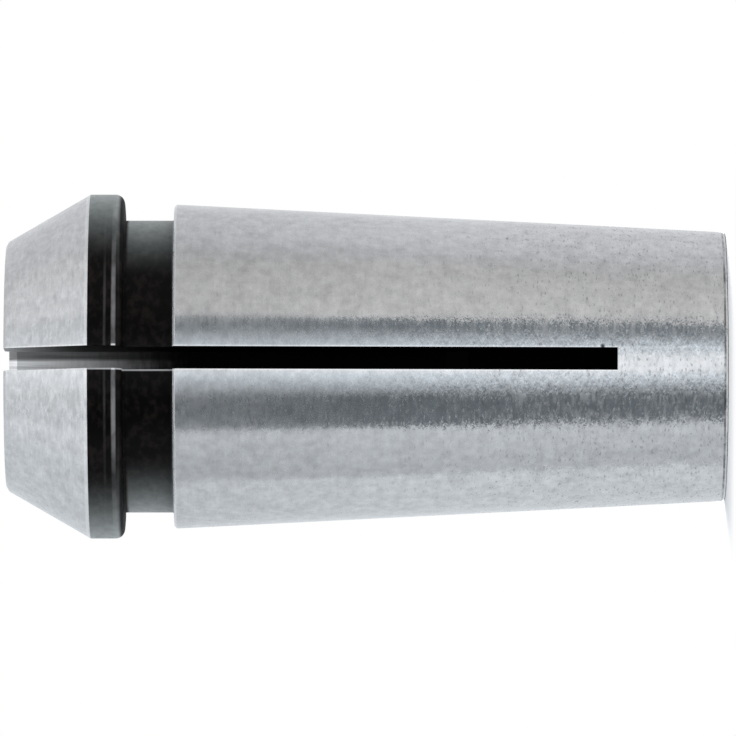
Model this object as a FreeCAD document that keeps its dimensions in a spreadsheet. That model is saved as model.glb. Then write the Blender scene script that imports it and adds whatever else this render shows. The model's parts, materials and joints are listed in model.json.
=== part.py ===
import FreeCAD, Part
import math
import os

import Sketcher

# Router collet: one turned and ground piece of hardened steel, in millimetres.
# The axis is Z. The rear end face lies at height 0 and the nose face is at the top.
# From the nose back it has a steep nose cone, a flange, a groove behind the flange
# and a long shallow taper. A bore grips the cutter's shank from the nose, a wider
# relief bore runs in from the rear, and slits from the nose make the spring fingers.

DRIVING_SIZES = {
    # Nose cone and flange, which the clamping nut pushes on
    "nose_length": 4.2,
    "nose_half_angle": 30.0,
    "flange_diameter": 17.2,
    "flange_width": 1.7,
    # Groove behind the flange, for the lip of the nut that pulls the collet out; its depth is
    # what the lip hooks behind
    "groove_width": 2.5,
    "groove_depth": 1.3,
    # Long taper that wedges in the spindle: one millimetre of diameter in taper_ratio of length
    "taper_length": 27.5,
    "taper_diameter": 16.2,
    "taper_ratio": 10.0,
    # Shank bore from the nose, and the wider bore behind it
    "shank_diameter": 6.35,
    "grip_length": 22.0,
    "relief_diameter": 8.6,
    "relief_half_angle": 45.0,
    # Slits from the nose, which leave a closed ring at the rear
    "slit_width": 1.1,
    "slit_count": 3,
    "rear_ring": 5.5,
    # Chamfers, and the two rounded edges
    "mouth_chamfer": 0.4,
    "relief_chamfer": 0.3,
    "nose_chamfer": 0.15,
    "taper_chamfer": 0.12,
    "flange_rounding": 0.45,
    "rear_rounding": 0.22,
}

# Sizes that follow from the driving ones, written as the sheet's own formulas
DERIVED_SIZES = {
    "taper_radius": "=taper_diameter / 2",
    "rear_radius": "=(taper_diameter - taper_length / taper_ratio) / 2",
    "flange_radius": "=flange_diameter / 2",
    "groove_radius": "=flange_radius - groove_depth",
    "groove_front": "=taper_length + groove_width",
    "flange_front": "=groove_front + flange_width",
    "collet_length": "=flange_front + nose_length",
    "nose_radius": "=flange_radius - nose_length * tan(nose_half_angle * 1 deg)",
    "shank_radius": "=shank_diameter / 2",
    "relief_radius": "=relief_diameter / 2",
    "grip_rear": "=collet_length - grip_length",
    "relief_front": "=grip_rear - (relief_radius - shank_radius) / tan(relief_half_angle * 1 deg)",
    "cutter_overrun": "=slit_width",
    "cutter_radius": "=flange_radius + cutter_overrun",
    "slit_length": "=collet_length + cutter_overrun - rear_ring",
}

# Finished rims: the feature's name, its type, its size, and the radius and height of the rim,
# where no height is the rear face
RIMS = (
    ("MouthChamfer", "Chamfer", "mouth_chamfer", "shank_radius", "collet_length"),
    ("ReliefChamfer", "Chamfer", "relief_chamfer", "relief_radius", None),
    ("NoseChamfer", "Chamfer", "nose_chamfer", "nose_radius", "collet_length"),
    ("TaperChamfer", "Chamfer", "taper_chamfer", "taper_radius", "taper_length"),
    ("FlangeRounding", "Fillet", "flange_rounding", "flange_radius", "groove_front"),
    ("RearRounding", "Fillet", "rear_rounding", "rear_radius", None),
)

FULL_TURN = 360
SAME_PLACE = 1e-4


def make_sheet(doc):
    """Puts the driving sizes and the sizes that follow from them in a sheet."""
    sheet = doc.addObject("Spreadsheet::Sheet", "Sizes")
    cells = {**DRIVING_SIZES, **DERIVED_SIZES}
    for row, (alias, content) in enumerate(cells.items(), start=1):
        sheet.set(f"A{row}", alias)
        sheet.set(f"B{row}", str(content))
        sheet.setAlias(f"B{row}", alias)
    doc.recompute()
    return sheet


def add_sketch(body, name):
    """Adds a sketch on the body's own upright plane: across is X, and up is the axis Z."""
    upright = next(item for item in body.Origin.OriginFeatures if item.Role == "XZ_Plane")
    sketch = body.newObject("Sketcher::SketchObject", name)
    sketch.AttachmentSupport = (upright, [""])
    sketch.MapMode = "FlatFace"
    return sketch


def bind(sketch, constraint, formula):
    """Adds a constraint whose value follows a formula of the sheet's sizes."""
    index = sketch.addConstraint(constraint)
    sketch.setExpression(f"Constraints[{index}]", formula)


def draw_half_section(sketch, sheet, corners):
    """Draws a closed outline through the corners, each a radius and a height named in the
    sheet, where None is the axis or the rear face."""
    places = []
    for radius, height in corners:
        across = sheet.get(radius) if radius else 0.0
        up = sheet.get(height) if height else 0.0
        places.append(FreeCAD.Vector(across, up, 0))
    for start, end in zip(places, places[1:] + places[:1]):
        sketch.addGeometry(Part.LineSegment(start, end))
    count = len(places)
    for line in range(count):
        sketch.addConstraint(Sketcher.Constraint("Coincident", line, 2, (line + 1) % count, 1))
    for line, ((radius, height), place) in enumerate(zip(corners, places)):
        if radius:
            width = Sketcher.Constraint("DistanceX", -1, 1, line, 1, place.x)
            bind(sketch, width, f"Sizes.{radius}")
        else:
            sketch.addConstraint(Sketcher.Constraint("PointOnObject", line, 1, -2))
        if height:
            rise = Sketcher.Constraint("DistanceY", -1, 1, line, 1, place.y)
            bind(sketch, rise, f"Sizes.{height}")
        else:
            sketch.addConstraint(Sketcher.Constraint("PointOnObject", line, 1, -1))


def revolve(body, sheet, kind, name, corners):
    """Turns a half section about the axis, as solid (Revolution) or as a cut (Groove)."""
    sketch = add_sketch(body, f"{name}Section")
    draw_half_section(sketch, sheet, corners)
    feature = body.newObject(f"PartDesign::{kind}", name)
    feature.Profile = sketch
    feature.ReferenceAxis = (sketch, ["V_Axis"])
    feature.Angle = FULL_TURN
    body.Document.recompute()
    return feature


def turn_blank(body, sheet):
    """Turns the outside: the taper, the stock that the groove is cut from, the flange and
    the nose cone."""
    corners = (
        (None, None),
        ("rear_radius", None),
        ("taper_radius", "taper_length"),
        ("flange_radius", "taper_length"),
        ("flange_radius", "flange_front"),
        ("nose_radius", "collet_length"),
        (None, "collet_length"),
    )
    return revolve(body, sheet, "Revolution", "Blank", corners)


def cut_groove(body, sheet):
    """Cuts the square groove between the flange and the taper."""
    corners = (
        ("groove_radius", "taper_length"),
        ("cutter_radius", "taper_length"),
        ("cutter_radius", "groove_front"),
        ("groove_radius", "groove_front"),
    )
    return revolve(body, sheet, "Groove", "NutGroove", corners)


def cut_bores(body, sheet):
    """Cuts the relief bore, its cone and the shank bore, right through along the axis."""
    corners = (
        (None, None),
        ("relief_radius", None),
        ("relief_radius", "relief_front"),
        ("shank_radius", "grip_rear"),
        ("shank_radius", "collet_length"),
        (None, "collet_length"),
    )
    return revolve(body, sheet, "Groove", "Bores", corners)


def find_rim(shape, radius, height):
    """Names the shape's full circle of that radius at that height."""
    for number, edge in enumerate(shape.Edges, start=1):
        if not isinstance(edge.Curve, Part.Circle) or not edge.isClosed():
            continue
        same_radius = abs(edge.Curve.Radius - radius) < SAME_PLACE
        same_height = abs(edge.Curve.Center.z - height) < SAME_PLACE
        if same_radius and same_height:
            return f"Edge{number}"
    raise RuntimeError(f"no rim of radius {radius} at height {height}")


def finish_rims(body, sheet):
    """Chamfers and rounds the rims, while they are still full circles."""
    for name, kind, size, radius, height in RIMS:
        carrier = body.Tip
        level = sheet.get(height) if height else 0.0
        rim = find_rim(carrier.Shape, sheet.get(radius), level)
        feature = body.newObject(f"PartDesign::{kind}", name)
        feature.Base = (carrier, [rim])
        feature.setExpression("Size" if kind == "Chamfer" else "Radius", f"Sizes.{size}")
        body.Document.recompute()


def cut_slits(body, sheet):
    """Saws one slit from the nose through the front wall, then repeats it round the axis."""
    half_width = sheet.slit_width / 2
    top = sheet.rear_ring + sheet.slit_length
    lower_left = FreeCAD.Vector(-half_width, sheet.rear_ring, 0)
    lower_right = FreeCAD.Vector(half_width, sheet.rear_ring, 0)
    upper_right = FreeCAD.Vector(half_width, top, 0)
    upper_left = FreeCAD.Vector(-half_width, top, 0)
    corners = [lower_left, lower_right, upper_right, upper_left]
    sketch = add_sketch(body, "SlitOutline")
    for start, end in zip(corners, corners[1:] + corners[:1]):
        sketch.addGeometry(Part.LineSegment(start, end))
    bottom, right, upper, left = range(len(corners))
    for line, after in ((bottom, right), (right, upper), (upper, left), (left, bottom)):
        sketch.addConstraint(Sketcher.Constraint("Coincident", line, 2, after, 1))
    sketch.addConstraint(Sketcher.Constraint("Symmetric", bottom, 1, bottom, 2, -2))
    sketch.addConstraint(Sketcher.Constraint("Horizontal", upper))
    for line in (right, left):
        sketch.addConstraint(Sketcher.Constraint("Vertical", line))
    width = Sketcher.Constraint("DistanceX", bottom, 1, bottom, 2, 2 * half_width)
    bind(sketch, width, "Sizes.slit_width")
    start = Sketcher.Constraint("DistanceY", -1, 1, bottom, 1, sheet.rear_ring)
    bind(sketch, start, "Sizes.rear_ring")
    length = Sketcher.Constraint("DistanceY", right, 1, right, 2, sheet.slit_length)
    bind(sketch, length, "Sizes.slit_length")

    slit = body.newObject("PartDesign::Pocket", "Slit")
    slit.Profile = sketch
    slit.Type = "Length"
    slit.Reversed = True
    slit.setExpression("Length", "Sizes.cutter_radius")
    body.Document.recompute()

    slits = body.newObject("PartDesign::PolarPattern", "Slits")
    slits.Originals = [slit]
    slits.Axis = (sketch, ["V_Axis"])
    slits.Angle = FULL_TURN
    slits.setExpression("Occurrences", "Sizes.slit_count")
    body.Tip = slits
    body.Document.recompute()
    return slit, slits


def require_less(before, after, what):
    """Stops if a cut took nothing away."""
    if after.Shape.Volume >= before.Shape.Volume - SAME_PLACE:
        raise RuntimeError(f"{what} cut nothing")


def build_collet(doc, sheet):
    """Builds the collet from its turned blank to its slits."""
    body = doc.addObject("PartDesign::Body", "Collet")
    body.Label = "collet"
    blank = turn_blank(body, sheet)
    groove = cut_groove(body, sheet)
    require_less(blank, groove, "the groove")
    bores = cut_bores(body, sheet)
    require_less(groove, bores, "the bores")
    finish_rims(body, sheet)
    rounded = body.Tip
    slit, slits = cut_slits(body, sheet)
    require_less(rounded, slit, "the slit")
    one_slit = rounded.Shape.Volume - slit.Shape.Volume
    all_slits = rounded.Shape.Volume - slits.Shape.Volume
    if not math.isclose(all_slits, one_slit * sheet.slit_count, rel_tol=SAME_PLACE):
        raise RuntimeError("the slits don't all cut the same")
    return body


def check(doc, bodies):
    """Stops on a failed object, or on a body that isn't one whole solid."""
    for item in doc.Objects:
        if "Invalid" in item.State or "Error" in item.State:
            raise RuntimeError(f"{item.Name} failed: {item.State}")
    for body in bodies:
        if body.Shape.isNull() or not body.Shape.isValid():
            raise RuntimeError(f"{body.Label} has no valid shape")
        if len(body.Shape.Solids) != 1:
            raise RuntimeError(f"{body.Label} isn't one solid")


def main():
    """Builds the document, checks it and writes the collet's solid."""
    doc = FreeCAD.newDocument("RouterCollet")
    sheet = make_sheet(doc)
    body = build_collet(doc, sheet)
    check(doc, [body])
    os.makedirs("parts", exist_ok=True)
    body.Shape.exportStep(f"parts/{body.Label}.step")
    box = body.Shape.optimalBoundingBox()
    print(f"{body.Label}: {box.XLength:.2f} x {box.YLength:.2f} x {box.ZLength:.2f} mm")
    print(f"volume {body.Shape.Volume:.1f} mm3, {len(body.Shape.Faces)} faces")


main()
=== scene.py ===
import json
import math

import bpy
from mathutils import Matrix, Vector


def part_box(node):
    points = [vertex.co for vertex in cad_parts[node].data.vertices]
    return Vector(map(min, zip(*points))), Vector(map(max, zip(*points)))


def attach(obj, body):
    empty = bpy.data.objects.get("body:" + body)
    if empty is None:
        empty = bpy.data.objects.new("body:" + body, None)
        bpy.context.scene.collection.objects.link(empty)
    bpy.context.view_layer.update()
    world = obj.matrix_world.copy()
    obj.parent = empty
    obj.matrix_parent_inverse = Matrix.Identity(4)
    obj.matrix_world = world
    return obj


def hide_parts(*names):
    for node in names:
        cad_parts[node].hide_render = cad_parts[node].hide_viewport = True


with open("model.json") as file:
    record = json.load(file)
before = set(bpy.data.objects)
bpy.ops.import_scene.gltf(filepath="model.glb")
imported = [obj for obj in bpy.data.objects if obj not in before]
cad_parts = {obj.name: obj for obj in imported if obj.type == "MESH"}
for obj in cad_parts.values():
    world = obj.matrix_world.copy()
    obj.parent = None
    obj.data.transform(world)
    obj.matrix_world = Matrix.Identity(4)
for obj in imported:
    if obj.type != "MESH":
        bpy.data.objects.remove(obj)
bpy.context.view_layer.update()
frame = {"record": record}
COLLET_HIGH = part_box("collet")[1]
MOUNTS = {mount["name"]: mount for mount in frame["record"]["mounts"]}

bl_info = {
    "name": "Router collet",
    "version": (1, 0, 0),
    "blender": (4, 5, 0),
    "location": "View3D > Sidebar > Collet",
    "description": "A slotted router collet with its ground and blackened finishes, and its studio",
    "category": "Object",
}

MILLIMETRE = 0.001
MICROMETRE = 0.000001
TO_MILLIMETRES = 1000

# How many columns of faces one finger and one slit's share of the rear ring have
FINGER_COLUMNS = 126
SLIT_COLUMNS = 8
# Steps of the arcs: the rear rounding, and how many of its steps stay bright, the flange's
# rounding and the groove's corners. The rear rounding's other steps are blackened like the
# rear face, which partly paints a dark reflection along the rear edge.
REAR_STEPS = 8
BRIGHT_REAR_STEPS = 5
FLANGE_STEPS = 10
ROOT_STEPS = 4
# Points nearer than this are one point, and edges sharper than this are broken
SAME_PLACE = MICROMETRE / 5
SHARP_ANGLE = math.radians(25)

# The small dark nick in the front slit's edge, near the slit's end, painted as a dark spot for
# the shade in the dent: its place, and the radii of its dark middle and of its rim, in millimetres
NICK_PLACE = (0.6, -7.0, 6.24)
NICK_RADII = (0.04, 0.18)
# How far the stains, the painted dark reflection round the foot and the nick's painted shade darken
# the steel
STAIN_SHADE = 0.22
FOOT_SHADE = 0.7
NICK_SHADE = 0.9
# What the grain and the pits add to the roughness, and the heights of the grain and of the
# grinding marks as shares of the depth of marks
GRAIN_ROUGHNESS = 0.25
GRAIN_HEIGHT = 5.5
GRIND_HEIGHT = 0.5
MARK_DEPTH = 2.5 * MICROMETRE
BORE_MARK_DEPTH = 2.0 * MICROMETRE


def mount_size(name, key):
    """Reads one dimension of a mount in the frame's record, in metres."""
    return MOUNTS[name]["dims"][key] * MILLIMETRE


# The finishes, in the order of the numbers that the half section carries
GROUND, BLACKENED, SHANK_BORE, RELIEF_BORE, SLIT_WALL = range(5)


class ColletSizes(bpy.types.PropertyGroup):
    """The collet's sizes. Those that the frame holds come from it."""

    length: bpy.props.FloatProperty(
        name="Length",
        description="From the rear face to the nose face",
        default=COLLET_HIGH.z,
        unit="LENGTH",
    )
    flange_radius: bpy.props.FloatProperty(
        name="Flange radius",
        description="Half the flange's diameter",
        default=COLLET_HIGH.x,
        unit="LENGTH",
    )
    nose_length: bpy.props.FloatProperty(
        name="Nose length",
        description="Length of the steep nose cone",
        default=mount_size("nut_cone", "length_mm"),
        unit="LENGTH",
    )
    nose_half_angle: bpy.props.FloatProperty(
        name="Nose half angle",
        description="Between the nose cone and the axis",
        default=math.radians(30),
        subtype="ANGLE",
    )
    groove_width: bpy.props.FloatProperty(
        name="Groove width",
        description="Width of the groove behind the flange",
        default=mount_size("nut_groove", "length_mm"),
        unit="LENGTH",
    )
    groove_radius: bpy.props.FloatProperty(
        name="Groove radius",
        description="Radius of the groove's floor",
        default=mount_size("nut_groove", "r_mm"),
        unit="LENGTH",
    )
    taper_length: bpy.props.FloatProperty(
        name="Taper length",
        description="Length of the long shallow taper",
        default=mount_size("spindle_taper", "length_mm"),
        unit="LENGTH",
    )
    taper_radius: bpy.props.FloatProperty(
        name="Taper radius",
        description="Radius of the taper's large end",
        default=8.1 * MILLIMETRE,
        unit="LENGTH",
    )
    taper_slope: bpy.props.FloatProperty(
        name="Taper slope",
        description="Radius lost for each unit of length",
        default=1 / 20,
    )
    shank_radius: bpy.props.FloatProperty(
        name="Shank radius",
        description="Radius of the bore that grips the cutter",
        default=mount_size("shank_bore", "r_mm"),
        unit="LENGTH",
    )
    grip_length: bpy.props.FloatProperty(
        name="Grip length",
        description="Length of the straight wall that grips the cutter",
        default=mount_size("shank_bore", "length_mm"),
        unit="LENGTH",
    )
    relief_radius: bpy.props.FloatProperty(
        name="Relief radius",
        description="Radius of the wider bore at the rear",
        default=4.3 * MILLIMETRE,
        unit="LENGTH",
    )
    slit_width: bpy.props.FloatProperty(
        name="Slit width",
        description="Width of the saw cuts",
        default=1.1 * MILLIMETRE,
        unit="LENGTH",
    )
    slit_count: bpy.props.IntProperty(
        name="Slits",
        description="Saw cuts, evenly spaced round the axis",
        default=3,
        min=2,
    )
    rear_ring: bpy.props.FloatProperty(
        name="Rear ring",
        description="Height of the closed ring behind the slits",
        default=5.5 * MILLIMETRE,
        unit="LENGTH",
    )
    mouth_chamfer: bpy.props.FloatProperty(
        name="Mouth chamfer",
        description="Chamfer where the shank goes in",
        default=0.4 * MILLIMETRE,
        unit="LENGTH",
    )
    relief_chamfer: bpy.props.FloatProperty(
        name="Relief chamfer",
        description="Chamfer of the rear bore",
        default=0.3 * MILLIMETRE,
        unit="LENGTH",
    )
    nose_chamfer: bpy.props.FloatProperty(
        name="Nose chamfer",
        description="Chamfer round the nose face",
        default=0.15 * MILLIMETRE,
        unit="LENGTH",
    )
    taper_chamfer: bpy.props.FloatProperty(
        name="Taper chamfer",
        description="Chamfer of the taper's large end",
        default=0.12 * MILLIMETRE,
        unit="LENGTH",
    )
    flange_rounding: bpy.props.FloatProperty(
        name="Flange rounding",
        description="Radius of the flange's rear edge",
        default=0.45 * MILLIMETRE,
        unit="LENGTH",
    )
    rear_rounding: bpy.props.FloatProperty(
        name="Rear rounding",
        description="Radius of the rear face's edge",
        default=0.22 * MILLIMETRE,
        unit="LENGTH",
    )
    groove_root: bpy.props.FloatProperty(
        name="Groove root",
        description="Radius left in the groove's corners by the tool",
        default=0.12 * MILLIMETRE,
        unit="LENGTH",
    )
    broken_edge: bpy.props.FloatProperty(
        name="Broken edge",
        description="Width taken off every sharp edge",
        default=0.02 * MILLIMETRE,
        unit="LENGTH",
    )


class ColletFinishes(bpy.types.PropertyGroup):
    """The collet's colours."""

    steel: bpy.props.FloatVectorProperty(
        name="Ground steel",
        description="Colour of the ground cone and taper",
        subtype="COLOR",
        size=3,
        default=(0.6, 0.602, 0.606),
    )
    # Partly painted highlight: besides rubbed steel, this colour paints the glints along the slit
    # edges, round the nose cone's big end and round the taper's front end.
    bright: bpy.props.FloatVectorProperty(
        name="Bright edge",
        description="Colour of the steel where an edge is rubbed bright",
        subtype="COLOR",
        size=3,
        default=(0.8, 0.8, 0.8),
    )
    black: bpy.props.FloatVectorProperty(
        name="Blackened steel",
        description="Colour of the oxide on the flange and in the groove",
        subtype="COLOR",
        size=3,
        default=(0.0013, 0.0011, 0.0009),
    )
    rust: bpy.props.FloatVectorProperty(
        name="Brown mottle",
        description="Colour of the brown patches in the oxide",
        subtype="COLOR",
        size=3,
        default=(0.0085, 0.006, 0.0055),
    )
    # Painted sheen: the greyish colour that the blackened finish turns to towards its outline,
    # standing in for the oxide's reflections there.
    painted_sheen: bpy.props.FloatVectorProperty(
        name="Oil film",
        description="Colour of the haze that the oily oxide shows towards its outline",
        subtype="COLOR",
        size=3,
        default=(0.235, 0.258, 0.255),
    )
    # Painted light: the bare steel colour that the inner finishes show where light falls in at the
    # mouth, most on the side away from +X.
    bore: bpy.props.FloatVectorProperty(
        name="Bore",
        description="Colour of the bore's steel where shanks rub it, at the mouth",
        subtype="COLOR",
        size=3,
        default=(0.88, 0.88, 0.88),
    )
    # Partly painted shade: this dark oxide colour fills the bores and the slits where they lie deep
    # in shade.
    oxide_and_painted_shade: bpy.props.FloatVectorProperty(
        name="Dark oxide",
        description="Colour of the oxide deep in the bore and on the slit walls",
        subtype="COLOR",
        size=3,
        default=(0.005, 0.0047, 0.0045),
    )


class StudioSettings(bpy.types.PropertyGroup):
    """The camera and the light."""

    camera_distance: bpy.props.FloatProperty(
        name="Camera distance",
        description="From the camera to the collet's axis",
        default=577 * MILLIMETRE,
        unit="LENGTH",
    )
    camera_turn: bpy.props.FloatProperty(
        name="Camera turn",
        description="How far round the axis the camera stands from the front slit",
        default=math.radians(3.3),
        subtype="ANGLE",
    )
    field_of_view: bpy.props.FloatProperty(
        name="Field of view",
        description="Angle across the square picture",
        default=math.radians(3.655),
        subtype="ANGLE",
    )
    aim_height: bpy.props.FloatProperty(
        name="Aim height",
        description="Height on the axis that the camera looks at",
        default=17.84 * MILLIMETRE,
        unit="LENGTH",
    )
    aim_drop: bpy.props.FloatProperty(
        name="Aim drop",
        description="How far below the axis, in the picture, the camera looks",
        default=0.07 * MILLIMETRE,
        unit="LENGTH",
    )
    backdrop_level: bpy.props.FloatProperty(
        name="Backdrop",
        description="Brightness of the white surroundings",
        default=1.0,
    )
    lamp_power: bpy.props.FloatProperty(
        name="Lamp power",
        description="Power of the lamp that gives the soft shadow",
        default=5.0,
        unit="POWER",
    )


def put(tree, kind, inputs=None, **settings):
    """Adds a node with these settings. Each input is a value, or a socket to link from."""
    node = tree.nodes.new(kind)
    for name, value in settings.items():
        setattr(node, name, value)
    for key, value in (inputs or {}).items():
        socket = node.inputs[key]
        if isinstance(value, bpy.types.NodeSocket):
            tree.links.new(value, socket)
        else:
            socket.default_value = value
    return node


def maths(tree, operation, *values):
    """Adds a Math node and returns its value."""
    inputs = dict(enumerate(values))
    return put(tree, "ShaderNodeMath", inputs, operation=operation).outputs[0]


def arc(centre, radius, start, end, steps):
    """Points on an arc about centre, from the start angle to the end angle in degrees."""
    points = []
    for step in range(steps + 1):
        angle = math.radians(start + (end - start) * step / steps)
        across = centre[0] + radius * math.cos(angle)
        up = centre[1] + radius * math.sin(angle)
        points.append((across, up))
    return points


def half_section(sizes):
    """Goes once round the half section, from the taper at the slits' end down to the rear
    face, up the bores, over the nose and back down the taper. Returns the points as
    (radius, height, finish of the surface that starts there), and how many steps lie in the
    closed ring."""
    groove_front = sizes.taper_length + sizes.groove_width
    flange_front = sizes.length - sizes.nose_length
    ring_radius = sizes.taper_radius - sizes.taper_slope * (sizes.taper_length - sizes.rear_ring)
    rear_radius = sizes.taper_radius - sizes.taper_slope * sizes.taper_length
    nose_radius = sizes.flange_radius - sizes.nose_length * math.tan(sizes.nose_half_angle)
    grip_rear = sizes.length - sizes.mouth_chamfer - sizes.grip_length
    relief_front = grip_rear - (sizes.relief_radius - sizes.shank_radius)
    root = sizes.groove_root

    points = [(ring_radius, sizes.rear_ring, GROUND)]
    rounding = sizes.rear_rounding
    lean = math.degrees(math.atan(sizes.taper_slope))
    centre = (rear_radius - rounding, rounding)
    # The steps past BRIGHT_REAR_STEPS take the blackened finish: partly the oxide of the rear face,
    # partly painted shade along the rear edge.
    for step, (across, up) in enumerate(arc(centre, rounding, -lean, -90, REAR_STEPS)):
        points.append((across, up, GROUND if step < BRIGHT_REAR_STEPS else BLACKENED))
    points.append((sizes.relief_radius + sizes.relief_chamfer, 0, RELIEF_BORE))
    points.append((sizes.relief_radius, sizes.relief_chamfer, RELIEF_BORE))
    ring_steps = len(points)
    points.append((sizes.relief_radius, sizes.rear_ring, RELIEF_BORE))
    points.append((sizes.relief_radius, relief_front, RELIEF_BORE))
    points.append((sizes.shank_radius, grip_rear, SHANK_BORE))
    points.append((sizes.shank_radius, sizes.length - sizes.mouth_chamfer, SHANK_BORE))
    points.append((sizes.shank_radius + sizes.mouth_chamfer, sizes.length, GROUND))
    points.append((nose_radius - sizes.nose_chamfer, sizes.length, GROUND))
    cone_drop = sizes.nose_chamfer * math.cos(sizes.nose_half_angle)
    cone_out = sizes.nose_chamfer * math.sin(sizes.nose_half_angle)
    points.append((nose_radius + cone_out, sizes.length - cone_drop, GROUND))
    points.append((sizes.flange_radius, flange_front, BLACKENED))
    rounding = sizes.flange_rounding
    centre = (sizes.flange_radius - rounding, groove_front + rounding)
    for across, up in arc(centre, rounding, 0, -90, FLANGE_STEPS):
        points.append((across, up, BLACKENED))
    centre = (sizes.groove_radius + root, groove_front - root)
    points.append((sizes.groove_radius + root, groove_front, BLACKENED))
    for across, up in arc(centre, root, 90, 180, ROOT_STEPS)[1:]:
        points.append((across, up, BLACKENED))
    centre = (sizes.groove_radius + root, sizes.taper_length + root)
    for across, up in arc(centre, root, 180, 270, ROOT_STEPS):
        points.append((across, up, BLACKENED))
    points.append((sizes.taper_radius - sizes.taper_chamfer, sizes.taper_length, GROUND))
    points.append((sizes.taper_radius, sizes.taper_length - sizes.taper_chamfer, GROUND))
    return points, ring_steps


def section_wire(points):
    """Makes the half section a closed wire in the XZ plane, with its finishes as numbers."""
    wire = bpy.data.meshes.new("Half section")
    places = [(radius, 0, height) for radius, height, _ in points]
    edges = [(index, (index + 1) % len(points)) for index in range(len(points))]
    wire.from_pydata(places, edges, [])
    finishes = wire.attributes.new("finish", "INT", "POINT")
    finishes.data.foreach_set("value", [finish for _, _, finish in points])
    return wire


def strip(tree, group, rows, columns, first_angle, last_angle, stride=1, finish=None):
    """Adds a surface whose rows are points of the half section, stride apart, and whose
    columns run round the axis from first_angle to last_angle, which are functions of the
    radius. Angle 0 is the middle of the front slit."""
    across = maths(tree, "ADD", columns, 1)
    grid = put(tree, "GeometryNodeMeshGrid", {"Vertices X": rows, "Vertices Y": across})
    index = put(tree, "GeometryNodeInputIndex").outputs["Index"]
    row = maths(tree, "FLOOR", maths(tree, "DIVIDE", index, across))
    column = maths(tree, "SUBTRACT", index, maths(tree, "MULTIPLY", row, across))
    point = maths(tree, "MODULO", maths(tree, "MULTIPLY", row, stride), group["Loop points"])
    place = put(
        tree,
        "GeometryNodeSampleIndex",
        {"Geometry": group["Half section"], "Index": point},
        data_type="FLOAT_VECTOR",
        domain="POINT",
    )
    position = put(tree, "GeometryNodeInputPosition").outputs["Position"]
    tree.links.new(position, place.inputs["Value"])
    apart = put(tree, "ShaderNodeSeparateXYZ", {0: place.outputs["Value"]})
    radius = apart.outputs["X"]
    height = apart.outputs["Z"]
    half_width = maths(tree, "DIVIDE", group["Slit width"], 2)
    edge = maths(tree, "ARCSINE", maths(tree, "DIVIDE", half_width, radius))
    start = first_angle(edge)
    share = maths(tree, "DIVIDE", column, columns)
    turn = maths(tree, "SUBTRACT", last_angle(edge), start)
    angle = maths(tree, "MULTIPLY_ADD", turn, share, start)
    side = maths(tree, "MULTIPLY", radius, maths(tree, "SINE", angle))
    front = maths(tree, "MULTIPLY", radius, maths(tree, "COSINE", angle))
    back = maths(tree, "MULTIPLY", front, -1)
    there = put(tree, "ShaderNodeCombineXYZ", {"X": side, "Y": back, "Z": height})
    placed = put(
        tree,
        "GeometryNodeSetPosition",
        {"Geometry": grid.outputs["Mesh"], "Position": there.outputs["Vector"]},
    )
    if finish is None:
        face_row = maths(tree, "FLOOR", maths(tree, "DIVIDE", index, columns))
        own = put(tree, "GeometryNodeInputNamedAttribute", {"Name": "finish"}, data_type="INT")
        finish = put(
            tree,
            "GeometryNodeSampleIndex",
            {
                "Geometry": group["Half section"],
                "Value": own.outputs["Attribute"],
                "Index": face_row,
            },
            data_type="INT",
            domain="POINT",
        ).outputs["Value"]
    marked = put(
        tree,
        "GeometryNodeStoreNamedAttribute",
        {"Geometry": placed.outputs["Geometry"], "Name": "finish", "Value": finish},
        data_type="INT",
        domain="FACE",
    )
    return marked.outputs["Geometry"]


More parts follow.
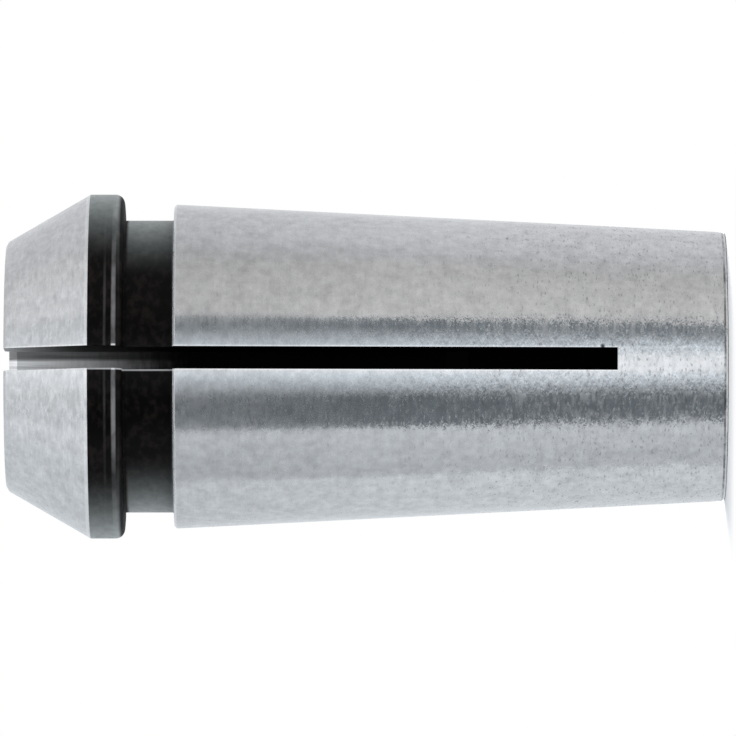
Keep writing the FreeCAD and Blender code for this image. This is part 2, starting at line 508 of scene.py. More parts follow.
def slit_walls(tree, group):
    """Adds the two flat walls of the front slit, filled from the half section above the
    closed ring."""
    index = put(tree, "GeometryNodeInputIndex").outputs["Index"]
    past_first = put(
        tree,
        "FunctionNodeCompare",
        {2: index, 3: 0},
        data_type="INT",
        operation="GREATER_THAN",
    )
    in_ring = put(
        tree,
        "FunctionNodeCompare",
        {2: index, 3: group["Ring steps"]},
        data_type="INT",
        operation="LESS_THAN",
    )
    unwanted = put(
        tree,
        "FunctionNodeBooleanMath",
        {0: past_first.outputs["Result"], 1: in_ring.outputs["Result"]},
        operation="AND",
    )
    fingers = put(
        tree,
        "GeometryNodeDeleteGeometry",
        {"Geometry": group["Half section"], "Selection": unwanted.outputs["Boolean"]},
        domain="POINT",
    )
    line = put(tree, "GeometryNodeMeshToCurve", {"Mesh": fingers.outputs["Geometry"]})
    loop = put(
        tree, "GeometryNodeSetSplineCyclic", {"Geometry": line.outputs["Curve"], "Cyclic": True}
    )
    position = put(tree, "GeometryNodeInputPosition").outputs["Position"]
    apart = put(tree, "ShaderNodeSeparateXYZ", {0: position})
    half_width = maths(tree, "DIVIDE", group["Slit width"], 2)
    radius_square = maths(tree, "MULTIPLY", apart.outputs["X"], apart.outputs["X"])
    width_square = maths(tree, "MULTIPLY", half_width, half_width)
    depth = maths(tree, "SQRT", maths(tree, "SUBTRACT", radius_square, width_square))
    flat = put(tree, "ShaderNodeCombineXYZ", {"X": depth, "Y": apart.outputs["Z"]})
    laid = put(
        tree,
        "GeometryNodeSetPosition",
        {"Geometry": loop.outputs["Geometry"], "Position": flat.outputs["Vector"]},
    )
    filled = put(tree, "GeometryNodeFillCurve", {"Curve": laid.outputs["Geometry"]}, mode="NGONS")
    marked = put(
        tree,
        "GeometryNodeStoreNamedAttribute",
        {"Geometry": filled.outputs["Mesh"], "Name": "finish", "Value": SLIT_WALL},
        data_type="INT",
        domain="FACE",
    )
    walls = []
    for side in (1, -1):
        here = put(tree, "GeometryNodeInputPosition").outputs["Position"]
        spread = put(tree, "ShaderNodeSeparateXYZ", {0: here})
        raised = put(
            tree,
            "ShaderNodeCombineXYZ",
            {
                "X": maths(tree, "MULTIPLY", half_width, side),
                "Y": maths(tree, "MULTIPLY", spread.outputs["X"], -1),
                "Z": spread.outputs["Y"],
            },
        )
        wall = put(
            tree,
            "GeometryNodeSetPosition",
            {"Geometry": marked.outputs["Geometry"], "Position": raised.outputs["Vector"]},
        ).outputs["Geometry"]
        if side < 0:
            wall = put(tree, "GeometryNodeFlipFaces", {"Mesh": wall}).outputs["Mesh"]
        walls.append(wall)
    return walls


def finger_tree(materials):
    """Builds the geometry nodes that turn the half section into fingers: one finger with one
    slit's walls and its share of the closed ring, repeated round the axis."""
    tree = bpy.data.node_groups.new("Collet fingers", "GeometryNodeTree")
    tree.interface.new_socket("Collet", in_out="OUTPUT", socket_type="NodeSocketGeometry")
    wanted = {
        "Half section": "NodeSocketGeometry",
        "Slits": "NodeSocketInt",
        "Slit width": "NodeSocketFloat",
        "Loop points": "NodeSocketInt",
        "Ring steps": "NodeSocketInt",
        "Finger columns": "NodeSocketInt",
        "Slit columns": "NodeSocketInt",
    }
    for name, kind in wanted.items():
        tree.interface.new_socket(name, in_out="INPUT", socket_type=kind)
    group = put(tree, "NodeGroupInput").outputs
    sector = maths(tree, "DIVIDE", math.tau, group["Slits"])

    def slit_start(edge):
        """Where the front slit starts, on the side of -X."""
        return maths(tree, "MULTIPLY", edge, -1)

    def slit_end(edge):
        """Where the front slit ends and the finger beside it starts."""
        return edge

    def finger_end(edge):
        """Where that finger ends, at the next slit."""
        return maths(tree, "SUBTRACT", sector, edge)

    loop_rows = maths(tree, "ADD", group["Loop points"], 1)
    ring_rows = maths(tree, "ADD", group["Ring steps"], 1)
    slit_columns = group["Slit columns"]
    finger = strip(tree, group, loop_rows, group["Finger columns"], slit_end, finger_end)
    ring = strip(tree, group, ring_rows, slit_columns, slit_start, slit_end)
    floor = strip(
        tree,
        group,
        2,
        slit_columns,
        slit_start,
        slit_end,
        stride=group["Ring steps"],
        finish=SLIT_WALL,
    )
    floor = put(tree, "GeometryNodeFlipFaces", {"Mesh": floor}).outputs["Mesh"]
    whole = put(tree, "GeometryNodeJoinGeometry")
    for surface in [finger, ring, floor] + slit_walls(tree, group):
        tree.links.new(surface, whole.inputs[0])
    stations = put(
        tree,
        "GeometryNodeMeshLine",
        {"Count": group["Slits"], "Offset": (0, 0, 0)},
        mode="OFFSET",
    )
    index = put(tree, "GeometryNodeInputIndex").outputs["Index"]
    angle = maths(tree, "MULTIPLY", index, sector)
    turned = put(tree, "FunctionNodeAxisAngleToRotation", {"Axis": (0, 0, 1), "Angle": angle})
    repeated = put(
        tree,
        "GeometryNodeInstanceOnPoints",
        {
            "Points": stations.outputs["Mesh"],
            "Instance": whole.outputs["Geometry"],
            "Rotation": turned.outputs["Rotation"],
        },
    )
    real = put(tree, "GeometryNodeRealizeInstances", {0: repeated.outputs["Instances"]})
    joined = put(
        tree,
        "GeometryNodeMergeByDistance",
        {"Geometry": real.outputs["Geometry"], "Distance": SAME_PLACE},
    )
    shaped = put(
        tree,
        "GeometryNodeSetShadeSmooth",
        {"Geometry": joined.outputs["Geometry"], "Shade Smooth": True},
    ).outputs["Geometry"]
    own = put(tree, "GeometryNodeInputNamedAttribute", {"Name": "finish"}, data_type="INT")
    for number, material in enumerate(materials):
        same = put(
            tree,
            "FunctionNodeCompare",
            {2: own.outputs["Attribute"], 3: number},
            data_type="INT",
            operation="EQUAL",
        )
        shaped = put(
            tree,
            "GeometryNodeSetMaterial",
            {"Geometry": shaped, "Selection": same.outputs["Result"], "Material": material},
        ).outputs["Geometry"]
    put(tree, "NodeGroupOutput", {"Collet": shaped})
    return tree


def set_inputs(modifier, values):
    """Sets a geometry nodes modifier's inputs by their identifiers."""
    for item in modifier.node_group.interface.items_tree:
        if item.name in values:
            modifier[item.identifier] = values[item.name]


def finished_mesh(shape, name):
    """Applies the object's modifiers and returns the plain mesh."""
    depsgraph = bpy.context.evaluated_depsgraph_get()
    evaluated = shape.evaluated_get(depsgraph)
    mesh = bpy.data.meshes.new_from_object(
        evaluated, preserve_all_data_layers=True, depsgraph=depsgraph
    )
    mesh.name = name
    return mesh


def link(thing):
    """Links an object into the scene."""
    bpy.context.scene.collection.objects.link(thing)
    return thing


class COLLET_OT_add_collet(bpy.types.Operator):
    """Add the collet, shaped from its half section and dressed in its finishes"""

    bl_idname = "collet.add_collet"
    bl_label = "Collet"

    def execute(self, context):
        sizes = context.scene.collet_sizes
        materials = make_finishes(context.scene.collet_finishes, sizes)
        points, ring_steps = half_section(sizes)
        shape = link(bpy.data.objects.new("Collet shape", section_wire(points)))
        nodes = shape.modifiers.new("Fingers", "NODES")
        nodes.node_group = finger_tree(materials)
        values = {
            "Slits": sizes.slit_count,
            "Slit width": sizes.slit_width,
            "Loop points": len(points),
            "Ring steps": ring_steps,
            "Finger columns": FINGER_COLUMNS,
            "Slit columns": SLIT_COLUMNS,
        }
        set_inputs(nodes, values)
        bevel = shape.modifiers.new("Broken edges", "BEVEL")
        bevel.width = sizes.broken_edge
        bevel.segments = 2
        bevel.limit_method = "ANGLE"
        bevel.angle_limit = SHARP_ANGLE
        shape.modifiers.new("Flat faces", "WEIGHTED_NORMAL")
        mesh = finished_mesh(shape, "collet_ground")
        if not mesh.polygons:
            raise RuntimeError("the collet's shape came out empty")
        bpy.data.objects.remove(shape)
        piece = link(bpy.data.objects.new("collet_ground", mesh))
        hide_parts("collet")
        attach(piece, "root")
        return {"FINISHED"}


def new_material(name):
    """Makes an empty material and returns it with its node tree."""
    material = bpy.data.materials.new(name)
    material.use_nodes = True
    material.node_tree.nodes.clear()
    return material, material.node_tree


def principled(tree, inputs):
    """Adds the surface shader with these inputs and joins it to the output."""
    shader = put(tree, "ShaderNodeBsdfPrincipled", inputs)
    put(tree, "ShaderNodeOutputMaterial", {"Surface": shader.outputs["BSDF"]})
    return shader


def object_place(tree):
    """Adds the point's place on the collet: its height in millimetres, its distance from the
    axis and the direction in which it lies from the axis."""
    place = put(tree, "ShaderNodeTexCoord").outputs["Object"]
    scaled = put(tree, "ShaderNodeVectorMath", {0: place, "Scale": TO_MILLIMETRES}, operation="SCALE")
    parts = put(tree, "ShaderNodeSeparateXYZ", {0: scaled.outputs["Vector"]}).outputs
    flat = put(tree, "ShaderNodeCombineXYZ", {"X": parts["X"], "Y": parts["Y"]})
    length = put(tree, "ShaderNodeVectorMath", {0: flat.outputs[0]}, operation="LENGTH")
    radial = put(tree, "ShaderNodeVectorMath", {0: flat.outputs[0]}, operation="NORMALIZE")
    return parts, length.outputs["Value"], radial.outputs["Vector"]


def mapped(tree, value, low, high, to_low=0.0, to_high=1.0, kind="SMOOTHSTEP"):
    """Adds a Map Range node that eases value from low to high into the two results."""
    inputs = {"Value": value, "From Min": low, "From Max": high}
    inputs["To Min"] = to_low
    inputs["To Max"] = to_high
    return put(tree, "ShaderNodeMapRange", inputs, interpolation_type=kind).outputs["Result"]


def between(tree, share, low, high):
    """Adds a value that runs evenly from low to high as share runs from 0 to 1."""
    return mapped(tree, share, 0, 1, low, high, "LINEAR")


def mixed(tree, share, first, second, blend="MIX"):
    """Adds a colour mix and returns its colour."""
    node = put(tree, "ShaderNodeMix", data_type="RGBA", blend_type=blend)
    for index, value in ((0, share), (6, first), (7, second)):
        socket = node.inputs[index]
        if isinstance(value, bpy.types.NodeSocket):
            tree.links.new(value, socket)
        else:
            socket.default_value = value
    return node.outputs[2]


def opaque(colour):
    """Adds full alpha to a colour."""
    return (*colour, 1)


def effect_tree(name, inputs, outputs):
    """Starts a shader node group with these inputs, given with their defaults, and outputs.
    Returns the tree, its inputs' sockets and a function that ends it."""
    tree = bpy.data.node_groups.new(name, "ShaderNodeTree")
    for key, value in inputs.items():
        socket = tree.interface.new_socket(key, in_out="INPUT", socket_type="NodeSocketFloat")
        socket.default_value = value
    for key in outputs:
        tree.interface.new_socket(key, in_out="OUTPUT", socket_type="NodeSocketFloat")

    def end(values):
        """Joins these values to the group's outputs and returns the finished tree."""
        put(tree, "NodeGroupOutput", values)
        return tree

    return tree, put(tree, "NodeGroupInput").outputs, end


def wrapped_place(tree, group):
    """Adds the place that a pattern is read from: round the axis by the group's Around, along
    the surface from the axis outwards and down by its Along, from a start of its own by its
    Shift."""
    parts, radius, radial = object_place(tree)
    turn = put(
        tree, "ShaderNodeVectorMath", {0: radial, "Scale": group["Around"]}, operation="SCALE"
    )
    along = maths(tree, "SUBTRACT", parts["Z"], radius)
    height = maths(tree, "MULTIPLY_ADD", along, group["Along"], group["Shift"])
    rise = put(tree, "ShaderNodeCombineXYZ", {"Z": height})
    both = {0: turn.outputs[0], 1: rise.outputs[0]}
    return put(tree, "ShaderNodeVectorMath", both, operation="ADD").outputs[0]


def marks_effect():
    """Builds the marks that a wheel or a tool leaves as it runs round the collet: short arcs,
    long round the axis and narrow along it."""
    sizes = {"Around": 5.0, "Along": 6.0, "Depth of detail": 3.0, "Shift": 0.0}
    tree, group, end = effect_tree("Turning marks", sizes, ["Marks"])
    noise = put(
        tree,
        "ShaderNodeTexNoise",
        {
            "Vector": wrapped_place(tree, group),
            "Scale": 1.0,
            "Detail": group["Depth of detail"],
            "Roughness": 0.6,
        },
    )
    return end({"Marks": mapped(tree, noise.outputs["Fac"], 0.25, 0.75, kind="LINEAR")})


def specks_effect():
    """Builds scattered specks with soft edges, one in each cell as far as Cover goes. Around
    and Along say how small the cells are round the axis and along it."""
    sizes = {"Around": 22.0, "Along": 7.5, "Cover": 0.5, "Size": 0.45, "Shift": 0.0}
    tree, group, end = effect_tree("Specks", sizes, ["Specks"])
    cells = put(
        tree,
        "ShaderNodeTexVoronoi",
        {"Vector": wrapped_place(tree, group), "Scale": 1.0, "Randomness": 1.0},
    )
    chance = put(tree, "ShaderNodeSeparateColor", {0: cells.outputs["Color"]}).outputs["Red"]
    bare = maths(tree, "SUBTRACT", 1, group["Cover"])
    held = maths(tree, "GREATER_THAN", chance, bare)
    reach = maths(tree, "MULTIPLY", group["Size"], mapped(tree, chance, bare, 1, 0.5, 1.0))
    inner = maths(tree, "MULTIPLY", reach, 0.4)
    outside = mapped(tree, cells.outputs["Distance"], inner, reach)
    inside = maths(tree, "SUBTRACT", 1, outside)
    return end({"Specks": maths(tree, "MULTIPLY", inside, held)})


def slit_edge_effect():
    """Builds the mask of what lies within reach of a slit's long edges, and the same for the
    edge on one side of each slit."""
    sizes = {"Slits": 3.0, "Half width": 0.55, "Rear ring": 5.5, "Reach": 0.1}
    tree, group, end = effect_tree("Slit edges", sizes, ["Edge", "One side"])
    parts, radius, _ = object_place(tree)
    back = maths(tree, "MULTIPLY", parts["Y"], -1)
    angle = maths(tree, "ARCTAN2", parts["X"], back)
    half_sector = maths(tree, "DIVIDE", math.pi, group["Slits"])
    least = maths(tree, "MULTIPLY", half_sector, -1)
    folded = maths(tree, "WRAP", angle, half_sector, least)
    across = maths(tree, "MULTIPLY", radius, maths(tree, "ABSOLUTE", maths(tree, "SINE", folded)))
    beside = maths(tree, "SUBTRACT", across, group["Half width"])
    inner = maths(tree, "MULTIPLY", group["Reach"], 0.4)
    near = maths(tree, "SUBTRACT", 1, mapped(tree, beside, inner, group["Reach"]))
    above = maths(tree, "GREATER_THAN", parts["Z"], group["Rear ring"])
    edge = maths(tree, "MULTIPLY", near, above)
    one_side = maths(tree, "MULTIPLY", edge, maths(tree, "LESS_THAN", folded, 0))
    return end({"Edge": edge, "One side": one_side})


def ring_effect():
    """Builds the mask of a ring round the collet at one height."""
    sizes = {"Height": 30.0, "Half width": 0.05}
    tree, group, end = effect_tree("Ring", sizes, ["Ring"])
    parts, _, _ = object_place(tree)
    apart = maths(tree, "ABSOLUTE", maths(tree, "SUBTRACT", parts["Z"], group["Height"]))
    inner = maths(tree, "MULTIPLY", group["Half width"], 0.5)
    outer = maths(tree, "MULTIPLY", group["Half width"], 1.5)
    return end({"Ring": maths(tree, "SUBTRACT", 1, mapped(tree, apart, inner, outer))})


def effect(tree, group, output, values=None):
    """Places an effect in a material with its own values and returns one of its outputs."""
    node = put(tree, "ShaderNodeGroup", node_tree=group)
    for key, value in (values or {}).items():
        node.inputs[key].default_value = value
    return node.outputs[output]


def ring_mask(tree, effects, height, half_width):
    """Adds the mask of a ring round the collet at this height, both in millimetres."""
    return effect(tree, effects["ring"], "Ring", {"Height": height, "Half width": half_width})


def slit_values(sizes, reach):
    """The slit sizes that the mask of the slits' edges takes, in millimetres."""
    return {
        "Slits": sizes.slit_count,
        "Half width": sizes.slit_width / 2 * TO_MILLIMETRES,
        "Rear ring": sizes.rear_ring * TO_MILLIMETRES,
        "Reach": reach,
    }


def ground_finish(name, colours, effects, sizes):
    """Makes the finish of the ground cone and taper: dull bright steel with short marks round
    the axis, a grain and fine pits that are strongest at the rear end, edges rubbed bright with
    painted glints along them, a painted dark reflection round the foot and one small nick in
    the front slit's edge, painted as a dark spot for its shade. Heights, widths and reaches are
    in millimetres in this finish and the two below."""
    material, tree = new_material(name)
    parts, _, _ = object_place(tree)
    marks, specks = effects["marks"], effects["specks"]
    cloud = effect(tree, marks, "Marks", {"Around": 7, "Along": 0.9, "Shift": 3})
    blotch = effect(tree, marks, "Marks", {"Around": 16, "Along": 2, "Shift": 17})
    grind = effect(tree, marks, "Marks", {"Around": 6, "Along": 5})
    grain = effect(tree, marks, "Marks", {"Around": 14, "Along": 5.5, "Shift": 40})
    pits = effect(tree, specks, "Specks", {"Around": 26, "Along": 9, "Cover": 0.5, "Size": 0.5})
    stains = {"Around": 20, "Along": 8, "Cover": 0.1, "Size": 0.6, "Shift": 21}
    stains = effect(tree, specks, "Specks", stains)
    rear = mapped(tree, parts["Z"], 7, 21, 1.0, 0.3)

    # The taper grows a little duller towards the groove, and the nose doesn't
    duller = mapped(tree, parts["Z"], 12, 25, 0.0, -0.07)
    duller = maths(tree, "ADD", duller, mapped(tree, parts["Z"], 28, 31, 0.0, 0.07))
    uneven = between(tree, cloud, 0.93, 1.07)
    for change in (between(tree, blotch, -0.14, 0.14), between(tree, grind, -0.05, 0.05), duller):
        uneven = maths(tree, "ADD", uneven, change)

    # Painted dark reflection: a dark ring round the foot, on the rear rounding, broken by the cloud.
    foot = ring_mask(tree, effects, 0.16, 0.05)
    foot = maths(tree, "MULTIPLY", foot, mapped(tree, cloud, 0.2, 0.7, 0.3, 1.0))
    # Painted shade: the nick is a dark spot in the colour, not a dent in the shape.
    place = put(tree, "ShaderNodeCombineXYZ", {axis: parts[axis] for axis in "XYZ"})
    nick = {0: place.outputs["Vector"], 1: NICK_PLACE}
    nick = put(tree, "ShaderNodeVectorMath", nick, operation="DISTANCE").outputs["Value"]
    nick = mapped(tree, nick, *NICK_RADII, 1.0, 0.0)
    stained = maths(tree, "MULTIPLY", maths(tree, "MULTIPLY", stains, rear), STAIN_SHADE)
    stained = maths(tree, "MAXIMUM", stained, maths(tree, "MULTIPLY", foot, FOOT_SHADE))
    stained = maths(tree, "MAXIMUM", stained, maths(tree, "MULTIPLY", nick, NICK_SHADE))
    shade = maths(tree, "MULTIPLY", uneven, maths(tree, "SUBTRACT", 1, stained))
    tone = put(tree, "ShaderNodeCombineColor", {0: shade, 1: shade, 2: shade}).outputs[0]
    body = mixed(tree, 1.0, opaque(colours.steel), tone, "MULTIPLY")

    # Painted highlights: the bright colour along the slit edges, round the nose cone's big end and
    # round the taper's front end stands for glints on those edges, over steel rubbed bright there.
    edge = effect(tree, effects["edge"], "Edge", slit_values(sizes, 0.1))
    nose_edge = (sizes.length - sizes.nose_length) * TO_MILLIMETRES
    rim = ring_mask(tree, effects, nose_edge + 0.1, 0.07)
    step = ring_mask(tree, effects, sizes.taper_length * TO_MILLIMETRES - 0.05, 0.08)
    painted_light_and_wear = maths(tree, "MAXIMUM", edge, maths(tree, "MAXIMUM", rim, step))
    painted_light_and_wear = maths(tree, "MULTIPLY", painted_light_and_wear, between(tree, grind, 0.3, 0.75))
    painted_light_and_wear = maths(tree, "MULTIPLY", painted_light_and_wear, maths(tree, "SUBTRACT", 1, nick))
    base = mixed(tree, painted_light_and_wear, body, opaque(colours.bright))

    dull = mapped(tree, grain, 0.25, 0.85, kind="LINEAR")
    dull = maths(tree, "MULTIPLY", dull, rear)
    smooth = mapped(tree, parts["Z"], 12, 27, 0.12, 0.26)
    rough = maths(tree, "MULTIPLY_ADD", dull, GRAIN_ROUGHNESS, smooth)
    pitted = maths(tree, "MULTIPLY", pits, rear)
    rough = maths(tree, "MULTIPLY_ADD", pitted, GRAIN_ROUGHNESS, rough)
    hollows = maths(tree, "SUBTRACT", maths(tree, "MULTIPLY", grain, GRAIN_HEIGHT), pits)
    hollows = maths(tree, "MULTIPLY", hollows, rear)
    height = maths(tree, "MULTIPLY_ADD", grind, GRIND_HEIGHT, hollows)
    bump = put(tree, "ShaderNodeBump", {"Height": height, "Distance": MARK_DEPTH})
    tangent = put(tree, "ShaderNodeTangent", direction_type="RADIAL", axis="Z")
    inputs = {
        "Base Color": base,
        "Metallic": 1.0,
        "Roughness": rough,
        "Anisotropic": 1.0,
        "Anisotropic Rotation": 0.25,
        "Tangent": tangent.outputs["Tangent"],
        "Normal": bump.outputs["Normal"],
    }
    principled(tree, inputs)
    return material


def blackened_finish(name, colours, effects, sizes):
    """Makes the finish of the flange and the groove: black oxide with brown patches over
    turned steel, with a painted sheen towards its outline, and the steel showing through as
    painted glints along one edge of each slit and along the flange's rear corner."""
    material, tree = new_material(name)
    marks = effect(tree, effects["marks"], "Marks", {"Around": 2.5, "Along": 6, "Shift": 9})
    cloud = effect(tree, effects["marks"], "Marks", {"Around": 5, "Along": 1.2, "Shift": 5})
    rust = effect(tree, effects["marks"], "Marks", {"Around": 14, "Along": 2.5, "Shift": 31})

    corner_height = (sizes.taper_length + sizes.groove_width + sizes.flange_rounding) * TO_MILLIMETRES
    # Painted highlight: a light line at the start of the flange's rear rounding, with a faint turned
    # line just ahead of it, strongest beside the slits.
    corner = ring_mask(tree, effects, corner_height - 0.04, 0.1)
    rubbed = ring_mask(tree, effects, corner_height + 0.4, 0.06)
    rounding = ring_mask(tree, effects, corner_height - 0.45, 0.2)
    beside_slit = effect(tree, effects["edge"], "Edge", slit_values(sizes, 5.5))
    patchy = mapped(tree, cloud, 0.2, 0.8, 0.35, 1.0)
    patchy = maths(tree, "MULTIPLY", patchy, mapped(tree, beside_slit, 0, 1, 0.1, 0.3))
    line = maths(tree, "MAXIMUM", corner, maths(tree, "MULTIPLY", rubbed, 0.16))
    line = maths(tree, "MULTIPLY", line, patchy)
    # Painted glint: the steel colour along the slit edge on the side of -X only, the edge that
    # catches the light from above.
    edge = effect(tree, effects["edge"], "One side", slit_values(sizes, 0.11))
    painted_light_and_wear = maths(tree, "MAXIMUM", maths(tree, "MULTIPLY", edge, 0.6), line)
    tips = effect(tree, effects["edge"], "Edge", slit_values(sizes, 0.14))
    painted_light_and_wear = maths(tree, "MAXIMUM", painted_light_and_wear, maths(tree, "MULTIPLY", tips, corner))

    dark = mixed(tree, mapped(tree, rust, 0.35, 0.85), opaque(colours.black), opaque(colours.rust))
    # Painted sheen: Layer Weight turns the oxide's colour towards the sheen colour at its outline,
    # but not on the flange's rounding.
    lean = put(tree, "ShaderNodeLayerWeight", {"Blend": 0.5}).outputs["Facing"]
    painted_sheen_share = maths(tree, "MULTIPLY", mapped(tree, lean, 0.2, 0.8), 0.8)
    painted_sheen_share = maths(tree, "MULTIPLY", painted_sheen_share, maths(tree, "SUBTRACT", 1, rounding))
    painted_sheen_share = maths(tree, "MULTIPLY", painted_sheen_share, between(tree, rust, 0.8, 1.2))
    painted_sheen = mixed(tree, painted_sheen_share, dark, opaque(colours.painted_sheen))
    base = mixed(tree, painted_light_and_wear, painted_sheen, opaque(colours.steel))
    rough = between(tree, marks, 0.26, 0.36)
    rough = maths(tree, "MULTIPLY_ADD", rounding, 0.3, rough)
    bump = put(tree, "ShaderNodeBump", {"Height": marks, "Distance": MARK_DEPTH})
    inputs = {
        "Base Color": base,
        "Metallic": 0.0,
        "Roughness": rough,
        "Specular IOR Level": 0.07,
        "Normal": bump.outputs["Normal"],
    }
    principled(tree, inputs)
    return material


def inner_finish(name, colours, effects, sizes, mouth_light_depth, roughness):
    """Makes the finish inside the bores and the slits: dark oxide, partly painted shade, with bare
    steel painted as the light that falls in at the mouth, as deep as mouth_light_depth, in
    millimetres, in streaks along the axis and most on the side that lies away from +X."""
    material, tree = new_material(name)
    parts, _, _ = object_place(tree)
    marks = effect(tree, effects["marks"], "Marks", {"Around": 3, "Along": 5, "Shift": 14})
    streaks = effect(tree, effects["marks"], "Marks", {"Around": 9, "Along": 0.12, "Shift": 6})
    mouth = sizes.length * TO_MILLIMETRES
    wavy = maths(tree, "MULTIPLY_ADD", marks, 1.2, parts["Z"])
    # Painted light: bare steel towards the mouth, fading with depth, in streaks and most on the side
    # away from +X; deeper it stays the dark colour.
    painted_light_and_wear = mapped(tree, wavy, mouth - mouth_light_depth, mouth)
    painted_light_and_wear = maths(tree, "MULTIPLY", painted_light_and_wear, mapped(tree, streaks, 0.3, 0.6, 0.7, 1.0))
    painted_light_and_wear = maths(tree, "MULTIPLY", painted_light_and_wear, mapped(tree, parts["X"], 0.4, 0.6, 1.0, 0.25))
    base = mixed(tree, painted_light_and_wear, opaque(colours.oxide_and_painted_shade), opaque(colours.bore))
    rough = between(tree, marks, roughness, roughness + 0.12)
    bump = put(tree, "ShaderNodeBump", {"Height": marks, "Distance": BORE_MARK_DEPTH})
    inputs = {
        "Base Color": base,
        "Metallic": painted_light_and_wear,
        "Roughness": rough,
        "Specular IOR Level": 0.02,
        "Normal": bump.outputs["Normal"],
    }
    principled(tree, inputs)
    return material


def make_finishes(colours, sizes):
    """Makes the finishes in the order of their numbers."""
    effects = {
        "marks": marks_effect(),
        "specks": specks_effect(),
        "edge": slit_edge_effect(),
        "ring": ring_effect(),
    }
    return [
        ground_finish("Ground steel", colours, effects, sizes),
        blackened_finish("Blackened steel", colours, effects, sizes),
        inner_finish("Shank bore", colours, effects, sizes, 8.5, 0.42),
        inner_finish("Relief bore", colours, effects, sizes, 5.5, 0.45),
        inner_finish("Sawn slit", colours, effects, sizes, 3.5, 0.4),
    ]


# The light tent that the steel mirrors: its tints
NEUTRAL = (1.0, 1.0, 1.0)
PALE = (0.98, 1.0, 1.03)
COOL = (0.95, 1.0, 1.05)
CLEAR = (0.91, 1.0, 1.075)
BLUE = (0.87, 1.0, 1.1)
# The tent's cards: the name of each, where it starts and ends round the axis, in degrees from
# the camera towards the picture's top, its brightness at each end and its tint
WALL_CARDS = (
    ("front strip", -4, 10, 1.3, 1.3, PALE),
    ("upper slope", 10, 29, 1.2, 0.29, CLEAR),
    ("upper flag", 29, 37, 0.28, 0.25, BLUE),
    ("upper softbox", 37, 90, 0.81, 0.68, NEUTRAL),
    ("upper turn", 90, 114, 0.68, 0.85, PALE),
    ("upper side", 114, 180, 0.85, 0.82, PALE),
    ("lower slope", -22, -4, 0.26, 1.22, CLEAR),
    ("lower flag", -47, -22, 0.22, 0.19, BLUE),
    ("lower softbox", -92, -47, 0.69, 0.86, COOL),
    ("lower side", -180, -92, 0.82, 0.95, COOL),
)
CANOPY_CARDS = (
    ("top front", 0, 70, 1.22, 1.12, PALE),
    ("top side", 70, 180, 1.12, 0.76, PALE),
    ("bottom front", -80, 0, 1.18, 1.4, PALE),
    ("bottom side", -180, -80, 0.85, 1.1, COOL),
)
# The tent's wall and its canopy, each from a radius and a height to a radius and a height
WALL = ((0.45, -0.6), (0.45, 0.36))
CANOPY = ((0.45, 0.36), (0.1, 0.62))
CARD_COLUMNS = 24
FLOOR_RADIUS = 0.12
FLOOR_RINGS = 12
FLOOR_COLUMNS = 96
FLOOR_COLOUR = (0.92, 0.92, 0.92)
# Where the floor's own white starts and is full, in millimetres from the axis
FLOOR_WHITE = (8.5, 18)
LAMP_PLACE = (0.12, 0.4, 0.5)
LAMP_WIDTH = 0.2


class COLLET_OT_add_stage(bpy.types.Operator):
    """Add the white floor, the light tent, the lamp and the camera"""

    bl_idname = "collet.add_stage"
    bl_label = "Stage"

    def execute(self, context):
        studio = context.scene.collet_studio
        add_world(context.scene, studio)
        add_floor(studio)
        for tier, shape, cards in (("Wall", WALL, WALL_CARDS), ("Canopy", CANOPY, CANOPY_CARDS)):
            for card in cards:
                add_card(studio, tier, shape, card)
        add_lamp(studio)
        add_camera(context.scene, studio)
        return {"FINISHED"}


def add_world(scene, studio):
    """Makes the surroundings plain white."""
    world = bpy.data.worlds.new("White studio")
    world.use_nodes = True
    tree = world.node_tree
    tree.nodes.clear()
    white = put(
        tree,
        "ShaderNodeBackground",
        {"Color": (1, 1, 1, 1), "Strength": studio.backdrop_level},
    )
    put(tree, "ShaderNodeOutputWorld", {"Surface": white.outputs["Background"]})
    scene.world = world


def seen_white(tree):
    """Adds a mask that is 1 where the camera, a reflection or glass looks."""
    path = put(tree, "ShaderNodeLightPath").outputs
    looked_at = maths(tree, "MAXIMUM", path["Is Camera Ray"], path["Is Glossy Ray"])
    return maths(tree, "MAXIMUM", looked_at, path["Is Transmission Ray"])


def add_floor(studio):
    """Lays the pale round floor that the collet stands on. Its own white grows towards its
    rim, so that it meets the white surroundings without a line and still takes the shadow."""
    places = [(0, 0, 0)]
    faces = []
    for ring in range(1, FLOOR_RINGS + 1):
        radius = FLOOR_RADIUS * ring / FLOOR_RINGS
        for column in range(FLOOR_COLUMNS):
            angle = math.tau * column / FLOOR_COLUMNS
            places.append((radius * math.cos(angle), radius * math.sin(angle), 0))
    for column in range(FLOOR_COLUMNS):
        following = (column + 1) % FLOOR_COLUMNS
        faces.append((0, 1 + column, 1 + following))
        for ring in range(FLOOR_RINGS - 1):
            inner = 1 + ring * FLOOR_COLUMNS
            outer = inner + FLOOR_COLUMNS
            faces.append((inner + column, outer + column, outer + following, inner + following))
    mesh = bpy.data.meshes.new("Floor")
    mesh.from_pydata(places, [], faces)
    floor = link(bpy.data.objects.new("Floor", mesh))
    material, tree = new_material("White floor")
    _, radius, _ = object_place(tree)
    lit = put(tree, "ShaderNodeBsdfDiffuse", {"Color": opaque(FLOOR_COLOUR)})
    own = put(
        tree,
        "ShaderNodeEmission",
        {"Color": (1, 1, 1, 1), "Strength": studio.backdrop_level},
    )
    seen = maths(tree, "MULTIPLY", seen_white(tree), mapped(tree, radius, *FLOOR_WHITE))
    surface = put(tree, "ShaderNodeMixShader", {0: seen, 1: lit.outputs[0], 2: own.outputs[0]})
    put(tree, "ShaderNodeOutputMaterial", {"Surface": surface.outputs["Shader"]})
    mesh.materials.append(material)
    floor.visible_glossy = False


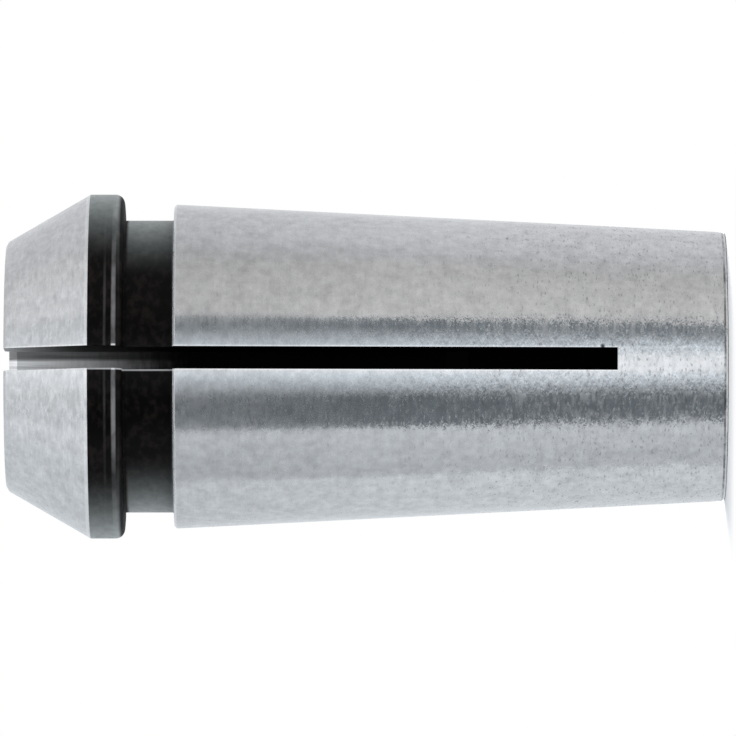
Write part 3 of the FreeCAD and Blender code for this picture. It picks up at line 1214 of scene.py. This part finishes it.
def add_card(studio, tier, shape, card):
    """Stands one card of the light tent, out of the camera's sight."""
    name, start, end, first, last, tint = card
    places = []
    levels = []
    for column in range(CARD_COLUMNS + 1):
        share = column / CARD_COLUMNS
        angle = math.radians(start + (end - start) * share) - studio.camera_turn
        for radius, height in shape:
            places.append((radius * math.sin(angle), -radius * math.cos(angle), height))
            levels.append(first + (last - first) * share)
    faces = [(low, low + 2, low + 3, low + 1) for low in range(0, 2 * CARD_COLUMNS, 2)]
    mesh = bpy.data.meshes.new(f"{tier} {name}")
    mesh.from_pydata(places, [], faces)
    mesh.attributes.new("brightness", "FLOAT", "POINT").data.foreach_set("value", levels)
    piece = link(bpy.data.objects.new(f"{tier} {name}", mesh))
    piece.visible_camera = False
    piece.visible_shadow = False
    material, tree = new_material(f"{tier} {name}")
    level = put(tree, "ShaderNodeAttribute", attribute_name="brightness")
    glow = put(
        tree,
        "ShaderNodeEmission",
        {"Color": opaque(tint), "Strength": level.outputs["Fac"]},
    )
    put(tree, "ShaderNodeOutputMaterial", {"Surface": glow.outputs["Emission"]})
    mesh.materials.append(material)


def add_lamp(studio):
    """Hangs the soft lamp that throws the shadow towards the camera, high up behind the
    collet. The steel mirrors the tent, not the lamp."""
    data = bpy.data.lights.new("Lamp", "AREA")
    data.shape = "DISK"
    data.size = LAMP_WIDTH
    data.energy = studio.lamp_power
    lamp = link(bpy.data.objects.new("Lamp", data))
    lamp.location = LAMP_PLACE
    lamp.rotation_euler = (-lamp.location).to_track_quat("-Z", "Y").to_euler()
    lamp.visible_glossy = False


def add_camera(scene, studio):
    """Stands the camera beside the collet, turned so that the nose points to the picture's
    left, and far back, where the perspective is almost flat."""
    data = bpy.data.cameras.new("Camera")
    data.sensor_width = 36
    data.lens = data.sensor_width / 2 / math.tan(studio.field_of_view / 2)
    data.clip_start = 0.01
    data.clip_end = 10
    camera = link(bpy.data.objects.new("Camera", data))
    away = Vector((-math.sin(studio.camera_turn), -math.cos(studio.camera_turn), 0))
    up = Vector((math.cos(studio.camera_turn), -math.sin(studio.camera_turn), 0))
    right = Vector((0, 0, -1))
    place = Matrix((right, up, away)).transposed().to_4x4()
    aim = Vector((0, 0, studio.aim_height)) - up * studio.aim_drop
    place.translation = aim + away * studio.camera_distance
    camera.matrix_world = place
    scene.camera = camera


class COLLET_PT_panel(bpy.types.Panel):
    """Lists the collet's pieces and the stage"""

    bl_idname = "COLLET_PT_panel"
    bl_label = "Router collet"
    bl_space_type = "VIEW_3D"
    bl_region_type = "UI"
    bl_category = "Collet"

    def draw(self, context):
        column = self.layout.column()
        for operator in OPERATORS:
            column.operator(operator.bl_idname)
        for group in ("collet_sizes", "collet_finishes", "collet_studio"):
            settings = getattr(context.scene, group)
            for name in settings.__annotations__:
                column.prop(settings, name)


OPERATORS = (COLLET_OT_add_collet, COLLET_OT_add_stage)
GROUPS = {
    "collet_sizes": ColletSizes,
    "collet_finishes": ColletFinishes,
    "collet_studio": StudioSettings,
}


def register():
    """Registers the classes and puts the settings on the scene."""
    for item in (*GROUPS.values(), *OPERATORS, COLLET_PT_panel):
        bpy.utils.register_class(item)
    for name, group in GROUPS.items():
        setattr(bpy.types.Scene, name, bpy.props.PointerProperty(type=group))


def unregister():
    """Takes the settings off the scene and unregisters the classes."""
    for name in GROUPS:
        delattr(bpy.types.Scene, name)
    for item in reversed((*GROUPS.values(), *OPERATORS, COLLET_PT_panel)):
        bpy.utils.unregister_class(item)


def main():
    """Builds the collet and its stage."""
    register()
    bpy.ops.collet.add_collet()
    bpy.ops.collet.add_stage()
    bpy.context.scene.view_settings.view_transform = "Standard"


if __name__ == "__main__":
    main()
